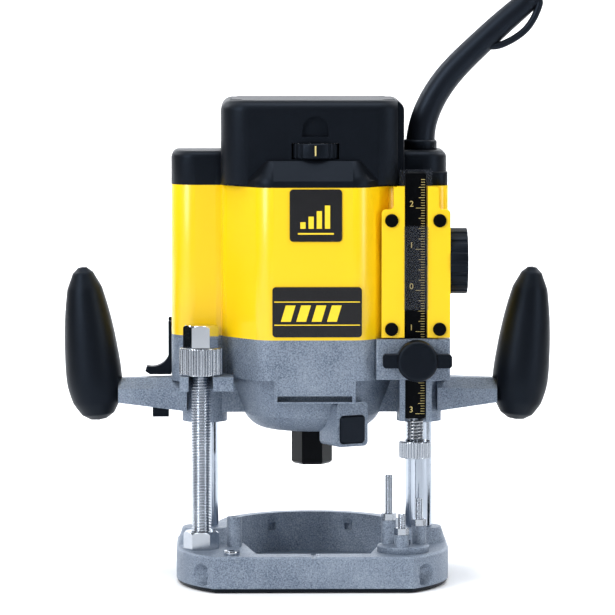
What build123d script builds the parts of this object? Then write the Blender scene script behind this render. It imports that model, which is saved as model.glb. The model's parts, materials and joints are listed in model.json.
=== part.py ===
"""Plunge router: two-column base, sprung motor head, depth stop, turret and mains lead.

Millimetres, +Z up. The origin is on the spindle axis, at the underside of the sole.
The operator's side is -Y, the two columns stand on the X axis.
"""

import os
from math import cos, degrees, pi, radians, sin, tan

from build123d import *

os.makedirs("parts", exist_ok=True)

# ---------------------------------------------------------------- driving dimensions
# base
sole_thickness = 2.5
base_half_width = 84.6
base_half_depth = 75.0
front_flat_half = 61.0
side_flat_half = 20.0
side_arc_run, side_arc_rise = base_half_width - front_flat_half, base_half_depth - side_flat_half
side_arc_radius = (side_arc_run**2 + side_arc_rise**2) / (2 * side_arc_run)  # meets the side flat square on
base_top = 22.0
boss_top = 31.0
boss_radius = 14.0
opening_radius = 32.5
flange_top = 6.0
cavity_radius = 52.0
cavity_centre_y = 16.0
cavity_front_y = -60.0
rim_wall = 7.0
fence_rod_radius = 5.05
fence_rod_y = 66.5
fence_rod_z = 10.0
fence_socket_depth = 36.0
clamp_screw_places = [(-50, -63.5), (-50, 66), (50, 66)]
post_x, post_y, post_top, post_radius = -48.5, -26.0, 40.5, 4.6
post_thread_radius = 2.1
# columns and plunge
column_x = 67.0
column_radius = 8.5
column_bore_radius = 5.6
column_foot = 5.0
column_top = 200.0
spring_foot = 25.0
spring_wire = 1.5
spring_pitch = 9.0
bush_wall = 1.9
bush_length = 18.0
guide_radius = 3.0
# limit rod (M12) and its nuts
rod_x, rod_y, rod_radius = -69.0, -36.0, 6.0
rod_top = 157.0
rod_nut_flats, rod_nut_height = 19.0, 11.0
knurl_radius, knurl_height = 13.4, 17.4
cap_nut_height = 13.8
ledge_bottom, ledge_top = 121.0, 129.8
# turret
turret_x, turret_y, turret_radius, turret_thickness = 55.5, -48.5, 16.0, 4.0
stop_circle = 10.8
stop_angles = [143.0, 23.0, -97.0]
stop_post_tops = [40.4, 37.2, 33.6]
stop_screw_tops = [68.6, 54.1, 46.5]
stop_screw_radius = 2.5
stop_post_radius = 4.5
stop_nut_flats, stop_nut_height = 8.0, 4.3
# head
head_bottom = 94.0
bowl_top = 128.0
seam_z = 153.0
cap_z = 246.5
wing_top = 267.5
head_top = 299.5
body_half = 56.0
body_front = 55.0
facet_front, facet_side = 31.0, 24.0
body_corner = 14.0
shell_wall = 3.0
left_wing_outer, right_wing_outer = 87.5, 83.6
wing_inner = 45.0
wing_front, wing_rear = 20.5, 24.0
sleeve_radius, sleeve_top, sleeve_foot = 13.5, 175.0, 98.0
fan_cavity_radius, fan_floor = 44.0, 118.0
# handles
left_reach, right_reach = 135.4, 130.0
arm_end_gap = 14.5
handle_foot, handle_length, handle_lean = 98.2, 96.5, 6.0
handle_radii = [(4, 11.2), (12, 15.6), (25, 17.6), (45, 17.0), (65, 15.0), (81, 12.6), (90, 9.4), (95, 5.0)]
stud_radius = 4.0
# depth stop
bar_x, bar_width = 63.2, 12.7
bar_front, bar_rear = -42.0, -34.0
bar_bottom, bar_top = 103.2, 255.4
rack_module = 1.0
pinion_teeth = 12
pinion_z = 200.0
knob_radius, knob_inner, knob_outer = 20.3, 84.3, 95.4
knob_shaft_radius = 4.0
fine_screw_radius = 5.2
wheel_radius, wheel_bottom, wheel_height = 10.0, 78.8, 10.4
plate_front, plate_rear = -48.0, -44.0
plate_half, plate_neck_half = 21.1, 13.8
plate_bottom, plate_shoulder, plate_top = 154.0, 232.8, 246.9
slot_half = 7.1
channel_half, channel_top = 10.0, 256.6
cursor_bottom, cursor_top = 171.2, 222.4
block_left, block_right, block_front = 38.6, 84.3, -48.5
clamp_x, clamp_z = 63.8, 140.3
clamp_radius, wing_span, wing_height = 12.6, 21.2, 8.3
# spindle and motor
lower_bearing_z, upper_bearing_z = 101.0, 237.0
nose_radius = 9.5
shank_radius = 6.35
collet_radius = 8.0
collet_nut_flats, collet_nut_bottom, collet_nut_top = 22.0, 71.0, 93.4
stator_radius, stator_bottom, stator_top = 43.5, 164.0, 214.0
armature_radius = 26.0
commutator_radius = 14.0
# spindle lock, set radially
lock_angle = 28.0
lock_z, lock_button, lock_travel = 97.0, 17.2, 3.5
lock_outer = 53.0
# switch, dial, plunge lock
slide_bottom, slide_top, slide_y0, slide_y1 = 126.5, 160.0, 2.0, 12.0
dial_x, dial_y, dial_radius = 1.5, -31.0, 18.0
dial_bottom, dial_height = 263.7, 9.4
lever_z, lever_y0, lever_y1 = 113.0, 15.0, 25.0
# mains lead
lead_x, lead_y = 67.6, 4.0
relief_radius = 7.9
cord_diameter = 7.6
coil_x, coil_y = 270.0, 0.0
coil_inner, coil_outer = 27.0, 50.4
# clearances
running = 0.05
gap = 0.3


# ---------------------------------------------------------------- shared shapes
def disc(x, y, z, radius, height, mode=Mode.ADD):
    """Upright cylinder standing at height z, added to or cut from the open part."""
    with BuildSketch(Plane.XY.offset(z)) as outline:
        with Locations((x, y)):
            Circle(radius)
    extrude(outline.sketch, amount=height, mode=mode)


def block(x0, x1, y0, y1, z0, z1, mode=Mode.ADD, corner=0.0):
    """Upright block between its limits, with optional rounded vertical edges."""
    with BuildSketch(Plane.XY.offset(z0)) as outline:
        with Locations(((x0 + x1) / 2, (y0 + y1) / 2)):
            if corner:
                RectangleRounded(x1 - x0, y1 - y0, corner)
            else:
                Rectangle(x1 - x0, y1 - y0)
    extrude(outline.sketch, amount=z1 - z0, mode=mode)


def rod(start, direction, radius, length, mode=Mode.ADD):
    """Cylinder from a point along any direction."""
    with BuildSketch(Plane(origin=start, z_dir=direction)) as outline:
        Circle(radius)
    extrude(outline.sketch, amount=length, mode=mode)


def hexagon(x, y, z, flats, height):
    """Hexagonal prism, a corner on each side, with its upper corners turned off."""
    corner_radius = flats / 2 / cos(pi / 6)
    with BuildSketch(Plane.XY.offset(z)) as outline:
        with Locations((x, y)):
            RegularPolygon(corner_radius, 6)
    extrude(outline.sketch, amount=height)
    bevel = corner_radius - flats / 2
    with BuildSketch(Plane.XZ.offset(-y)) as turned:
        with BuildLine():
            Polyline(
                (x, z),
                (x + corner_radius, z),
                (x + corner_radius, z + height - bevel),
                (x + flats / 2, z + height),
                (x, z + height),
                close=True,
            )
        make_face()
    revolve(turned.sketch, axis=Axis((x, y, 0), (0, 0, 1)), mode=Mode.INTERSECT)


def bend_radii(points):
    """Largest even radius at each inner corner of a route: 0.45 of the shorter run."""
    radii = []
    for before, here, after in zip(points, points[1:], points[2:]):
        run_in, run_out = Vector(*here) - Vector(*before), Vector(*after) - Vector(*here)
        turn = radians(run_in.get_angle(run_out))
        radii.append(0.45 * min(run_in.length, run_out.length) / tan(turn / 2))
    return radii


def keep(part, name):
    """Label a finished piece and write its file."""
    part.label = name
    export_step(part, f"parts/{name}.step")


def body_outline(front=body_front, half=body_half):
    """Motor barrel in plan: an octagon with a wide front and rear."""
    return [
        (facet_front, -front),
        (half, -facet_side),
        (half, facet_side),
        (facet_front, front - 3),
        (-facet_front, front - 3),
        (-half, facet_side),
        (-half, -facet_side),
        (-facet_front, -front),
    ]


def barrel(z, height, inset=0.0, mode=Mode.ADD):
    """Prism on the motor barrel's plan, its corners rounded."""
    with BuildSketch(Plane.XY.offset(z)) as outline:
        with BuildLine():
            Polyline(*body_outline(), close=True)
        make_face()
        fillet(outline.vertices(), body_corner)
        if inset:
            offset(amount=-inset, mode=Mode.REPLACE)
    extrude(outline.sketch, amount=height, mode=mode)


def wing(side, z0, z1, inset=0.0, mode=Mode.ADD, front=wing_front):
    """Column housing beside the barrel; side is -1 for left, 1 for right."""
    outer = left_wing_outer if side < 0 else right_wing_outer
    x0, x1 = sorted((side * (wing_inner + inset), side * (outer - inset)))
    with BuildSketch(Plane.XY.offset(z0)) as outline:
        with Locations(((x0 + x1) / 2, (wing_rear - front) / 2)):
            Rectangle(x1 - x0, wing_rear + front - 2 * inset)
        corners = outline.vertices().sort_by(Axis.Y)
        fillet(corners[:2], 15.0 - inset)
        fillet(corners[2:], 6.0 - inset / 2)
    extrude(outline.sketch, amount=z1 - z0, mode=mode)


lock_dir = (sin(radians(lock_angle)), -cos(radians(lock_angle)), 0)


def lock_point(radius, z=lock_z):
    """Point on the spindle lock's radial line."""
    return (radius * lock_dir[0], radius * lock_dir[1], z)


def stop_place(angle):
    """Plan position of a turret stop."""
    return (
        turret_x + stop_circle * cos(radians(angle)),
        turret_y + stop_circle * sin(radians(angle)),
    )


# ---------------------------------------------------------------- base
with BuildPart() as base_casting:
    with BuildSketch(Plane.XY.offset(sole_thickness)):
        with BuildLine() as quarter:
            Line((0, base_half_depth), (front_flat_half, base_half_depth))
            RadiusArc(
                (front_flat_half, base_half_depth),
                (base_half_width, side_flat_half),
                side_arc_radius,
            )
            Line((base_half_width, side_flat_half), (base_half_width, 0))
            Line((base_half_width, 0), (0, 0))
            Line((0, 0), (0, base_half_depth))
        make_face()
        mirror(about=Plane.YZ)
        mirror(about=Plane.XZ)
    extrude(amount=base_top - sole_thickness)
    chamfer(base_casting.faces().sort_by(Axis.Z)[-1].outer_wire().edges(), 1.2)
    # raised rim round the rear of the cavity
    disc(0, cavity_centre_y, base_top, cavity_radius + rim_wall, boss_top - base_top)
    block(-80, 80, -80, 4, base_top, boss_top + 1, Mode.SUBTRACT)
    # column bosses, coned down to the plate
    for side in (-1, 1):
        with BuildSketch(Plane.XY.offset(base_top - 1)):
            with Locations((side * column_x, 0)):
                Circle(boss_radius + 3.4)
        with BuildSketch(Plane.XY.offset(boss_top)):
            with Locations((side * column_x, 0)):
                Circle(boss_radius)
        loft()
    disc(post_x, post_y, base_top - 1, post_radius, post_top - base_top + 1)
    # cavity, throat and cutter opening
    disc(0, cavity_centre_y, flange_top, cavity_radius, boss_top, Mode.SUBTRACT)
    with BuildSketch(Plane.XY.offset(flange_top)):
        with BuildLine():
            Polyline((-35, cavity_front_y), (35, cavity_front_y), (43, -12), (-43, -12), close=True)
        make_face()
    extrude(amount=boss_top, mode=Mode.SUBTRACT)
    disc(0, 0, 0, opening_radius, flange_top + 1, Mode.SUBTRACT)
    # seats for the columns, limit rod, turret pivot, post screw and clamp screws
    for side in (-1, 1):
        disc(side * column_x, 0, column_foot, column_radius, boss_top, Mode.SUBTRACT)
    disc(rod_x, rod_y, 7, rod_radius, base_top, Mode.SUBTRACT)
    disc(turret_x, turret_y, 9, 3.0, base_top, Mode.SUBTRACT)
    disc(post_x, post_y, post_top - 12, post_thread_radius, 13, Mode.SUBTRACT)
    for x, y in clamp_screw_places:
        disc(x, y, fence_rod_z + 6, 3.0, base_top, Mode.SUBTRACT)
    # fence rod sockets, coned at the mouth
    for side in (-1, 1):
        for y in (-fence_rod_y, fence_rod_y):
            mouth = (side * (front_flat_half + 11), y, fence_rod_z)
            rod(mouth, (-side, 0, 0), fence_rod_radius, fence_socket_depth, Mode.SUBTRACT)
            rod(mouth, (side, 0, 0), fence_rod_radius, 12, Mode.SUBTRACT)
            rod((side * (front_flat_half + 4), y, fence_rod_z), (side, 0, 0), 6.8, 20, Mode.SUBTRACT)
    # centre notch on the front edge, pockets in the rear wall and the sole's screw holes
    rod((0, cavity_front_y, base_top + 0.6), (0, -1, 0), 1.8, 20, Mode.SUBTRACT)
    for angle in (62, 118):
        wall_x = cavity_radius * cos(radians(angle))
        wall_y = cavity_centre_y + cavity_radius * sin(radians(angle))
        disc(wall_x, wall_y, 20, 2.6, 4.5, Mode.SUBTRACT)
    for x in (-40, 40):
        for y in (-46, 46):
            disc(x, y, 0, 2.0, flange_top - 1, Mode.SUBTRACT)
keep(base_casting.part, "base_casting")

with BuildPart() as sole_plate:
    with BuildSketch():
        with BuildLine():
            Line((0, base_half_depth - 0.7), (front_flat_half - 0.5, base_half_depth - 0.7))
            RadiusArc(
                (front_flat_half - 0.5, base_half_depth - 0.7),
                (base_half_width - 0.6, side_flat_half),
                side_arc_radius,
            )
            Line((base_half_width - 0.6, side_flat_half), (base_half_width - 0.6, 0))
            Line((base_half_width - 0.6, 0), (0, 0))
            Line((0, 0), (0, base_half_depth - 0.7))
        make_face()
        mirror(about=Plane.YZ)
        mirror(about=Plane.XZ)
        Circle(opening_radius, mode=Mode.SUBTRACT)
    extrude(amount=sole_thickness)
    chamfer(sole_plate.faces().sort_by(Axis.Z)[0].outer_wire().edges(), 1.0)
    for x in (-40, 40):
        for y in (-46, 46):
            disc(x, y, 0, 4.0, 1.6, Mode.SUBTRACT)
            disc(x, y, 0, 2.1, sole_thickness, Mode.SUBTRACT)
keep(sole_plate.part, "sole_plate")

with BuildPart() as sole_screws:
    for x in (-40, 40):
        for y in (-46, 46):
            disc(x, y, 0.6, 3.8, 1.0)
            disc(x, y, 1.6, 1.95, flange_top - 2.8)
keep(sole_screws.part, "sole_screws")

for name, side in (("column_left", -1), ("column_right", 1)):
    with BuildPart() as column:
        disc(side * column_x, 0, column_foot, column_radius - 0.005, column_top - column_foot)
        disc(side * column_x, 0, spring_foot, column_bore_radius, column_top, Mode.SUBTRACT)
        chamfer(column.faces().sort_by(Axis.Z)[-1].outer_wire().edges(), 0.8)
    keep(column.part, name)

with BuildPart() as limit_rod:
    disc(rod_x, rod_y, 7, rod_radius - 0.01, rod_top - 7)
    chamfer(limit_rod.faces().sort_by(Axis.Z)[-1].edges(), 1.2)
keep(limit_rod.part, "limit_rod")

with BuildPart() as limit_rod_nut:
    hexagon(rod_x, rod_y, base_top, rod_nut_flats, rod_nut_height)
    disc(rod_x, rod_y, base_top, rod_radius + 0.02, rod_nut_height, Mode.SUBTRACT)
keep(limit_rod_nut.part, "limit_rod_nut")

with BuildPart() as fence_clamp_screws:
    for x, y in clamp_screw_places:
        disc(x, y, fence_rod_z + 6.2, 2.9, base_top - fence_rod_z - 6.2)
        disc(x, y, base_top, 4.9, 2.6)
        with BuildSketch(Plane.XY.offset(base_top + 2.6)):
            with Locations((x, y)):
                RegularPolygon(2.4, 6)
        extrude(amount=-2.2, mode=Mode.SUBTRACT)
keep(fence_clamp_screws.part, "fence_clamp_screws")

# ---------------------------------------------------------------- turret
with BuildPart() as turret_pivot:
    disc(turret_x, turret_y, 9, 2.98, base_top + turret_thickness + 0.4 - 9)
    disc(turret_x, turret_y, base_top + turret_thickness + 0.2, 4.6, 2.4)
    with BuildSketch(Plane.XY.offset(base_top + turret_thickness + 2.6)):
        with Locations((turret_x, turret_y)):
            Rectangle(10, 1.2)
    extrude(amount=-1.0, mode=Mode.SUBTRACT)
keep(turret_pivot.part, "turret_pivot")

with BuildPart() as turret_disc:
    disc(turret_x, turret_y, base_top + 0.1, turret_radius, turret_thickness)
    fillet(turret_disc.faces().sort_by(Axis.Z)[-1].edges(), 1.0)
    for angle, top in zip(stop_angles, stop_post_tops):
        disc(*stop_place(angle), base_top + 2, stop_post_radius, top - base_top - 2)
    disc(turret_x, turret_y, base_top + turret_thickness + 0.1, 5.0, 5, Mode.SUBTRACT)
    disc(turret_x, turret_y, base_top, 2.98 + running, 10, Mode.SUBTRACT)
    for angle, top in zip(stop_angles, stop_post_tops):
        disc(*stop_place(angle), base_top + 2, stop_screw_radius, top, Mode.SUBTRACT)
keep(turret_disc.part, "turret_disc")

with BuildPart() as turret_screws:
    for angle, top in zip(stop_angles, stop_screw_tops):
        disc(*stop_place(angle), base_top + 3, stop_screw_radius - 0.01, top - base_top - 3)
    chamfer(turret_screws.faces().filter_by(Axis.Z).group_by(Axis.Z)[-1].edges(), 0.6)
    for height in (46.5, 54.1):
        tops = turret_screws.faces().filter_by(Plane.XY.offset(height))
        if tops:
            chamfer(tops.edges(), 0.6)
keep(turret_screws.part, "turret_screws")

with BuildPart() as turret_lock_nuts:
    for angle, top in zip(stop_angles, stop_post_tops):
        x, y = stop_place(angle)
        with BuildSketch(Plane.XY.offset(top)):
            with Locations((x, y)):
                RegularPolygon(stop_nut_flats / 2 / cos(pi / 6), 6)
                Circle(stop_screw_radius + 0.02, mode=Mode.SUBTRACT)
        extrude(amount=stop_nut_height)
keep(turret_lock_nuts.part, "turret_lock_nuts")

# ---------------------------------------------------------------- limit nuts
with BuildPart() as knurled_nut:
    disc(rod_x, rod_y, ledge_top + 0.2, knurl_radius, knurl_height - 0.2)
    chamfer(knurled_nut.edges().filter_by(GeomType.CIRCLE), 0.8)
    disc(rod_x, rod_y, ledge_top, rod_radius + running, knurl_height + 1, Mode.SUBTRACT)
keep(knurled_nut.part, "knurled_nut")

with BuildPart() as cap_nut:
    hexagon(rod_x, rod_y, ledge_top + knurl_height, rod_nut_flats, cap_nut_height)
    disc(rod_x, rod_y, 0, rod_radius + running, rod_top + 0.6, Mode.SUBTRACT)
keep(cap_nut.part, "cap_nut")

# ---------------------------------------------------------------- head casting
with BuildPart() as head_casting:
    barrel(bowl_top, seam_z - bowl_top)
    # bowl: round belly tapering down from the barrel
    with BuildSketch(Plane.XY.offset(103)):
        Circle(42)
    with BuildSketch(Plane.XY.offset(bowl_top)):
        Circle(51.5)
    loft()
    with BuildSketch(Plane.XZ):
        with BuildLine():
            Line((0, head_bottom), (24, head_bottom))
            ThreePointArc((24, head_bottom), (36.6, 96.9), (42.4, 104))
            Line((42.4, 104), (0, 104))
            Line((0, 104), (0, head_bottom))
        make_face()
    revolve(axis=Axis.Z)
    # column sleeves, webs and wings
    for side in (-1, 1):
        disc(side * column_x, 0, sleeve_foot, boss_radius, seam_z - sleeve_foot)
        disc(side * column_x, 0, seam_z - 1, sleeve_radius, sleeve_top - seam_z + 1)
        x0, x1 = sorted((side * 36, side * (column_x - 4)))
        block(x0, x1, -9, 9, 104, bowl_top + 2)
        wing(side, 124, seam_z)
    # limit ledge on the left, its fork open to the front
    block(-82, -49, -49, -15, ledge_bottom, ledge_top)
    # stop block and bar channel on the right
    block(block_left, block_right, block_front, -13, bowl_top, seam_z, corner=1.5)
    block(bar_x - 9.8, bar_x + 9.8, -46, -8, 102, bowl_top)
    # arms out to the handles
    for side, reach in ((-1, left_reach), (1, right_reach)):
        for x, half, low, high in (
            (side * 78, 15, 105, 125.5),
            (side * (reach - arm_end_gap), 11, 110, 124.5),
        ):
            with BuildSketch(Plane(origin=(x, 0, 0), x_dir=(0, 1, 0), z_dir=(1, 0, 0))):
                with BuildLine():
                    Polyline(
                        (-half, low),
                        (half, low),
                        (half, high - 4),
                        (half - 5, high),
                        (-half + 9, high),
                        (-half, high - 6),
                        close=True,
                    )
                make_face()
        loft()
    # spindle lock boss and the vent hood
    with BuildSketch(Plane(origin=lock_point(30, 100.2), x_dir=(0, 0, 1), z_dir=lock_dir)):
        RectangleRounded(27.5, 22, 3)
    extrude(amount=lock_outer - 31.5)
    block(-24, 26, -body_front + 0.1, -40, 114, bowl_top + 1)
    # hollows: motor chamber, bearing seat, nose hole, column bores
    barrel(bowl_top + 4, 60, inset=5, mode=Mode.SUBTRACT)
    disc(0, 0, fan_floor, fan_cavity_radius, 60, Mode.SUBTRACT)
    disc(0, 0, lower_bearing_z, 17.5 + 0.02, 40, Mode.SUBTRACT)
    disc(0, 0, 90, 11.5, 40, Mode.SUBTRACT)
    for side in (-1, 1):
        disc(side * column_x, 0, 90, column_radius + bush_wall + 0.03, 100, Mode.SUBTRACT)
        disc(side * column_x, 0, sleeve_foot - 1, column_radius + 0.6, 100, Mode.SUBTRACT)
    # fork slot for the limit rod
    block(rod_x - 7.5, rod_x + 7.5, -60, rod_y, 110, ledge_top + 1, Mode.SUBTRACT)
    disc(rod_x, rod_y, 110, 7.5, ledge_top - 109, Mode.SUBTRACT)
    # bar passage, clamp screw hole, plunge lock hole, vent and arm studs
    half_bar = bar_width / 2 + 0.15
    block(bar_x - half_bar, bar_x + half_bar, bar_front - 0.25, bar_rear + 0.25, 100, 160, Mode.SUBTRACT)
    block(bar_x - half_bar, bar_x + half_bar, -50, bar_rear + 0.25, 100, bowl_top, Mode.SUBTRACT)
    disc(bar_x, (bar_front + bar_rear) / 2, 100, fine_screw_radius + 0.5, 20, Mode.SUBTRACT)
    rod((clamp_x, block_front - 1, clamp_z), (0, 1, 0), 3.05, 8, Mode.SUBTRACT)
    rod((-column_x, 7, lever_z), (0, 1, 0), 4.05, 20, Mode.SUBTRACT)
    block(-22, 24, -body_front - 1, -46, 115, 118.6, Mode.SUBTRACT)
    for side, reach in ((-1, left_reach), (1, right_reach)):
        rod((side * (reach - 8), 0, 117), (-side, 0, 0), stud_radius + 0.02, 22, Mode.SUBTRACT)
    # spindle lock pocket and pin hole
    with BuildSketch(Plane(origin=lock_point(39), x_dir=(0, 0, 1), z_dir=lock_dir)):
        RectangleRounded(lock_button + 0.5, lock_button + 0.5, 2.6)
    extrude(amount=20, mode=Mode.SUBTRACT)
    rod(lock_point(8), lock_dir, 2.55, 34, Mode.SUBTRACT)
keep(head_casting.part, "head_casting")

with BuildPart() as column_bushes:
    for side in (-1, 1):
        for foot, length in ((sleeve_foot + 0.2, 10), (sleeve_top - bush_length - 1, bush_length)):
            disc(side * column_x, 0, foot, column_radius + bush_wall, length)
            disc(side * column_x, 0, foot, column_radius + running, length, Mode.SUBTRACT)
keep(column_bushes.part, "column_bushes")

# ---------------------------------------------------------------- motor housing
with BuildPart() as motor_housing:
    height = cap_z - seam_z
    barrel(seam_z, height)
    for side in (-1, 1):
        wing(side, seam_z, cap_z)
    block(44.2, right_wing_outer, -37, 0, seam_z, cap_z, corner=7)
    block(bar_x - plate_neck_half, bar_x + plate_neck_half, plate_rear + 0.02, 0, seam_z, cap_z)
    barrel(seam_z - 1, height + 2, inset=shell_wall, mode=Mode.SUBTRACT)
    for side in (-1, 1):
        wing(side, seam_z - 1, cap_z + 1, inset=shell_wall, mode=Mode.SUBTRACT)
    # bearing bridge, stator ring and spring seats
    barrel(upper_bearing_z - 3, 10, inset=shell_wall - 0.5)
    disc(0, 0, upper_bearing_z - 5, 11.02, 20, Mode.SUBTRACT)
    barrel(182, 6, inset=shell_wall - 0.5)
    disc(0, 0, 180, stator_radius + 0.02, 10, Mode.SUBTRACT)
    for side in (-1, 1):
        disc(side * column_x, 0, cap_z - 7, 17, 5)
        disc(side * column_x, 0, cap_z - 8, guide_radius + 0.02, 8, Mode.SUBTRACT)
    # channel for the clear guide, pinion chamber and knob shaft hole
    block(
        bar_x - channel_half - 0.1,
        bar_x + channel_half + 0.1,
        plate_rear - 1,
        bar_rear + 2.1,
        seam_z - 1,
        cap_z + 1,
        Mode.SUBTRACT,
    )
    pinion_y = bar_rear - rack_module + rack_module * pinion_teeth / 2
    block(bar_x - 6, bar_x + 6, bar_rear, pinion_y + 8, pinion_z - 8, pinion_z + 8, Mode.SUBTRACT)
    rod((bar_x, pinion_y, pinion_z), (1, 0, 0), knob_shaft_radius + running, 30, Mode.SUBTRACT)
    # slot for the switch slide's stem
    block(-90, -82, 9.4, 14.6, 157, 178, Mode.SUBTRACT)
keep(motor_housing.part, "motor_housing")

with BuildPart() as guide_plates:
    with BuildSketch(Plane.XZ.offset(-plate_rear)):
        with BuildLine():
            Polyline(
                (bar_x - plate_half, plate_bottom),
                (bar_x + plate_half, plate_bottom),
                (bar_x + plate_half, plate_shoulder),
                (bar_x + plate_neck_half, plate_shoulder),
                (bar_x + plate_neck_half, plate_top),
                (bar_x - plate_neck_half, plate_top),
                (bar_x - plate_neck_half, plate_shoulder),
                (bar_x - plate_half, plate_shoulder),
                close=True,
            )
        make_face()
        with Locations((bar_x, 200)):
            Rectangle(2 * slot_half, 120, mode=Mode.SUBTRACT)
        for x in (bar_x - 15, bar_x + 14.5):
            for z in (159.2, 226):
                with Locations((x, z)):
                    Circle(2.0, mode=Mode.SUBTRACT)
    extrude(amount=plate_rear - plate_front)
    shoulders = guide_plates.edges().filter_by(Axis.Y).filter_by_position(Axis.Z, 232, 247)
    fillet(shoulders.filter_by_position(Axis.X, 41, 53), 2.5)
    fillet(
        guide_plates.edges()
        .filter_by(Axis.Y)
        .filter_by_position(Axis.Z, 232, 247)
        .filter_by_position(Axis.X, 74, 85),
        2.5,
    )
keep(guide_plates.part, "guide_plates")

with BuildPart() as plate_studs:
    for x in (bar_x - 15, bar_x + 14.5):
        for z in (159.2, 226):
            rod((x, plate_front, z), (0, -1, 0), 4.1, 1.6)
            rod((x, plate_rear, z), (0, -1, 0), 1.95, 4.2)
    chamfer(plate_studs.faces().filter_by(Axis.Y).group_by(Axis.Y)[0].edges(), 0.5)
keep(plate_studs.part, "plate_studs")

with BuildPart() as scale_channel:
    block(
        bar_x - channel_half, bar_x + channel_half, plate_rear + 0.1, bar_rear + 2, plate_bottom, channel_top
    )
    block(
        bar_x - bar_width / 2 - 0.1,
        bar_x + bar_width / 2 + 0.1,
        plate_rear - 1,
        bar_rear + 0.3,
        plate_bottom - 1,
        channel_top + 1,
        Mode.SUBTRACT,
    )
    block(bar_x - 6, bar_x + 6, bar_rear, bar_rear + 3, pinion_z - 8, pinion_z + 8, Mode.SUBTRACT)
    rod((bar_x, pinion_y, pinion_z), (1, 0, 0), knob_shaft_radius + 0.6, 15, Mode.SUBTRACT)
keep(scale_channel.part, "scale_channel")

for name, centre_x, half_width, low, high in (
    ("upper_badge", 1.6, 16.0, 213.6, 245.6),
    ("lower_badge", 2.4, 27.4, 155.0, 185.8),
):
    with BuildPart() as badge:
        with BuildSketch(Plane.XZ.offset(body_front)):
            with Locations((centre_x, (low + high) / 2)):
                RectangleRounded(2 * half_width, high - low, 2.2)
        extrude(amount=0.8)
    keep(badge.part, name)

# ---------------------------------------------------------------- top cap
with BuildPart() as top_cap:
    barrel(cap_z, 4)
    with BuildSketch(Plane.XY.offset(cap_z + 4)) as shelf:
        with BuildLine():
            Polyline(*body_outline(), close=True)
        make_face()
        fillet(shelf.vertices(), body_corner)
    extrude(amount=12, taper=35)
    for side in (-1, 1):
        wing(side, cap_z, wing_top)
    block(44.2, right_wing_outer, -30, 0, cap_z, cap_z + 8, corner=7)
    fillet(top_cap.edges().filter_by_position(Axis.Z, wing_top - 0.1, wing_top + 0.1), 4.5)
    block(-56.6, 56.6, -44, 48, cap_z + 1, head_top, corner=17)
    fillet(top_cap.faces().sort_by(Axis.Z)[-1].edges(), 7)
    # hollows
    block(-53, 53, -39, 44.5, cap_z - 1, head_top - 3.5, Mode.SUBTRACT, corner=14)
    for side in (-1, 1):
        wing(side, cap_z - 1, wing_top - 3.2, inset=shell_wall, mode=Mode.SUBTRACT)
    # dial window, finger scoop above it and rear louvres
    window_bottom, window_height = dial_bottom - 0.3, dial_height + 0.6
    block(
        dial_x - 14.6, dial_x + 14.6, -50, -30, window_bottom, window_bottom + window_height, Mode.SUBTRACT
    )
    disc(dial_x, dial_y, window_bottom, dial_radius + 0.35, window_height, Mode.SUBTRACT)
    with BuildSketch(Plane.XZ.offset(44)):
        with Locations((dial_x, 277.2)):
            SlotCenterToCenter(9, 16, rotation=90)
            Rectangle(40, 20, align=(Align.CENTER, Align.MAX), mode=Mode.SUBTRACT)
    extrude(amount=-3, mode=Mode.SUBTRACT)
    for n in range(9):
        block(-34 + 8.5 * n - 1.6, -34 + 8.5 * n + 1.6, 40, 52, 266, 288, Mode.SUBTRACT)
    # lead hole and clearance for the clear guide
    disc(lead_x, lead_y, cap_z, relief_radius + 0.15, 40, Mode.SUBTRACT)
    block(bar_x - 11, bar_x + 11, -60, bar_rear + 2.4, cap_z - 1, head_top, Mode.SUBTRACT)
    for x, y in ((-47, 36), (47, 36), (-47, -28), (47, -28)):
        disc(x, y, cap_z + 0.2, 5, head_top - cap_z - 2)
        disc(x, y, cap_z - 2, 2.1, head_top, Mode.SUBTRACT)
        disc(x, y, head_top - 6, 4.1, 10, Mode.SUBTRACT)
keep(top_cap.part, "top_cap")

with BuildPart() as cap_screws:
    for x, y in ((-47, 36), (47, 36), (-47, -28), (47, -28)):
        disc(x, y, cap_z + 0.5, 2.0, head_top - 6 - cap_z - 0.5)
        disc(x, y, head_top - 6, 3.9, 3.2)
        with BuildSketch(Plane.XY.offset(head_top - 2.8)):
            with Locations((x, y)):
                Rectangle(5, 1.1)
                Rectangle(1.1, 5)
        extrude(amount=-1.6, mode=Mode.SUBTRACT)
keep(cap_screws.part, "cap_screws")

with BuildPart() as speed_dial:
    disc(dial_x, dial_y, dial_bottom, dial_radius, dial_height)
    chamfer(speed_dial.edges().filter_by(GeomType.CIRCLE), 0.6)
    with BuildSketch(Plane.XY.offset(dial_bottom)):
        with Locations((dial_x, dial_y)):
            for angle in range(-60, 241, 12):
                with PolarLocations(dial_radius + 0.4, 1, angle):
                    Circle(0.95)
    extrude(amount=dial_height, mode=Mode.SUBTRACT)
    disc(dial_x, dial_y, 259, 2.8, dial_bottom - 259)
keep(speed_dial.part, "speed_dial")

with BuildPart() as control_module:
    block(-38, 38, -36, 30, 251, 258.4, corner=2)
    block(-30, -6, 0, 24, 258.4, 270)
    block(8, 30, 4, 24, 258.4, 266)
    disc(dial_x, dial_y, 257, 3.2, 5, Mode.SUBTRACT)
keep(control_module.part, "control_module")

# ---------------------------------------------------------------- plunge springs
with BuildPart() as spring_guides:
    for side in (-1, 1):
        disc(side * column_x, 0, 140, guide_radius, cap_z - 2 - 140)
        disc(side * column_x, 0, cap_z - 2, 8, 2)
keep(spring_guides.part, "spring_guides")

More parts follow.
